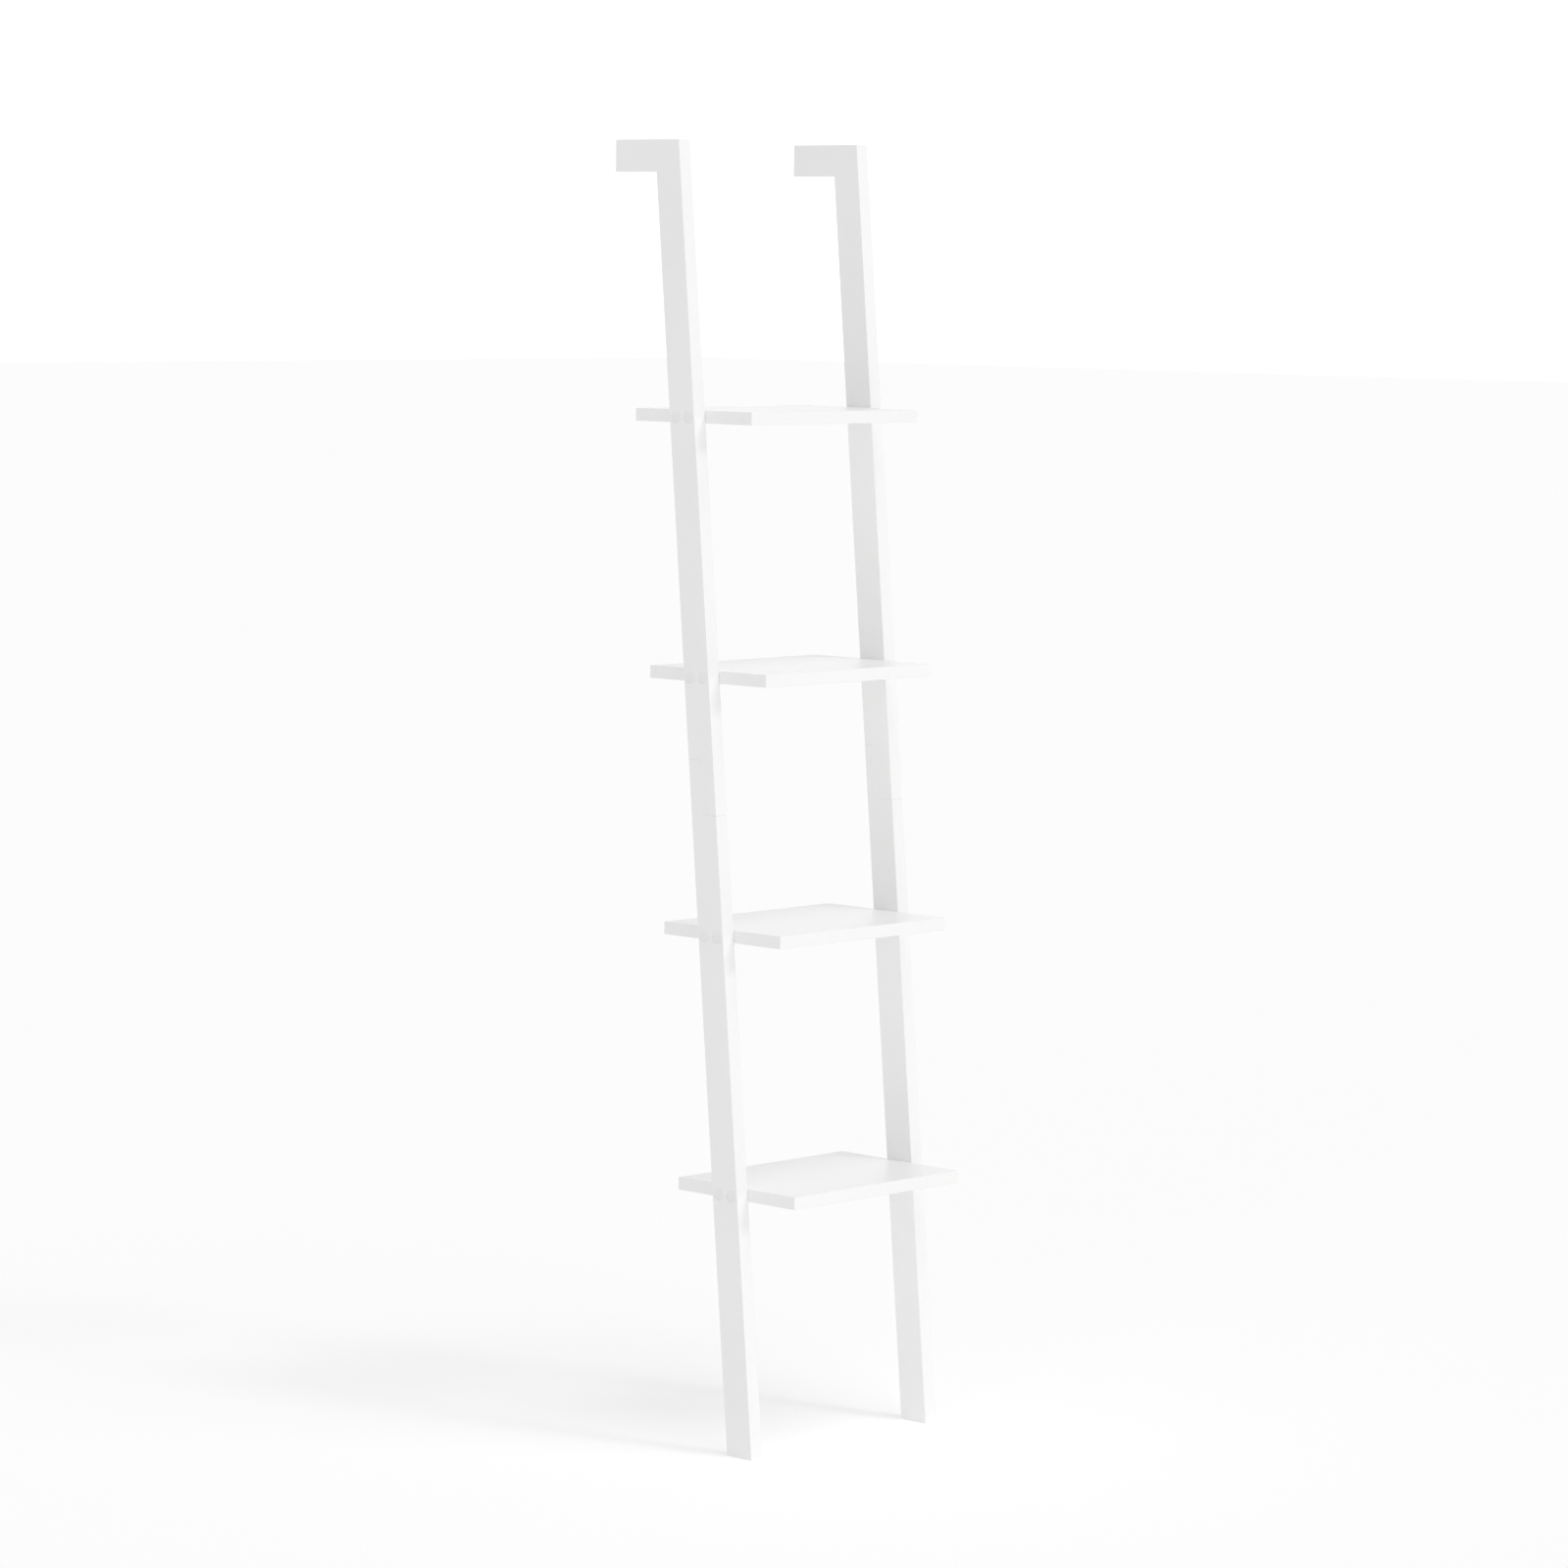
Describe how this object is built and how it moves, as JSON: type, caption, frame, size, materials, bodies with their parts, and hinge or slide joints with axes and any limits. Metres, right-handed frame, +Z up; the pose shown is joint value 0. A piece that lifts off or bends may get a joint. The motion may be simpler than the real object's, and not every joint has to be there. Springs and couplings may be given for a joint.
{
  "type": "ladder shelf",
  "caption": "Narrow open ladder shelf that leans on a wall: two leaning stiles with horizontal arms at the top and level rectangular boards between them.",
  "frame": {"origin": "on the floor under the middle of the object's bounding box, midway between the stiles", "axes": "+Z up, -Y the open front that a person faces, +Y towards the wall, X along the shelves"},
  "size_m": [0.38, 0.3494, 1.83],
  "materials": {
    "white lacquered wood": "white satin lacquer on a solid wood or MDF batten",
    "white lacquered board": "white satin lacquer on a square-edged board",
    "zinc-plated bolt": "bright zinc plate",
    "zinc-plated nut": "bright zinc plate",
    "white plastic cap": "white moulded plastic, slight sheen"
  },
  "bodies": {
    "root": {"lower_stile_left": "white lacquered wood", "lower_stile_right": "white lacquered wood", "upper_stile_left": "white lacquered wood", "upper_stile_right": "white lacquered wood", "bottom_shelf": "white lacquered board", "lower_shelf": "white lacquered board", "upper_shelf": "white lacquered board", "top_shelf": "white lacquered board", "bottom_shelf_bolts": "zinc-plated bolt", "lower_shelf_bolts": "zinc-plated bolt", "upper_shelf_bolts": "zinc-plated bolt", "top_shelf_bolts": "zinc-plated bolt", "bottom_shelf_bolt_caps": "white plastic cap", "lower_shelf_bolt_caps": "white plastic cap", "upper_shelf_bolt_caps": "white plastic cap", "top_shelf_bolt_caps": "white plastic cap", "bottom_shelf_barrel_nuts": "zinc-plated nut", "lower_shelf_barrel_nuts": "zinc-plated nut", "upper_shelf_barrel_nuts": "zinc-plated nut", "top_shelf_barrel_nuts": "zinc-plated nut", "lap_bolts_left": "zinc-plated bolt", "lap_bolts_right": "zinc-plated bolt", "lap_inserts_left": "zinc-plated nut", "lap_inserts_right": "zinc-plated nut"}
  },
  "joints": []
}
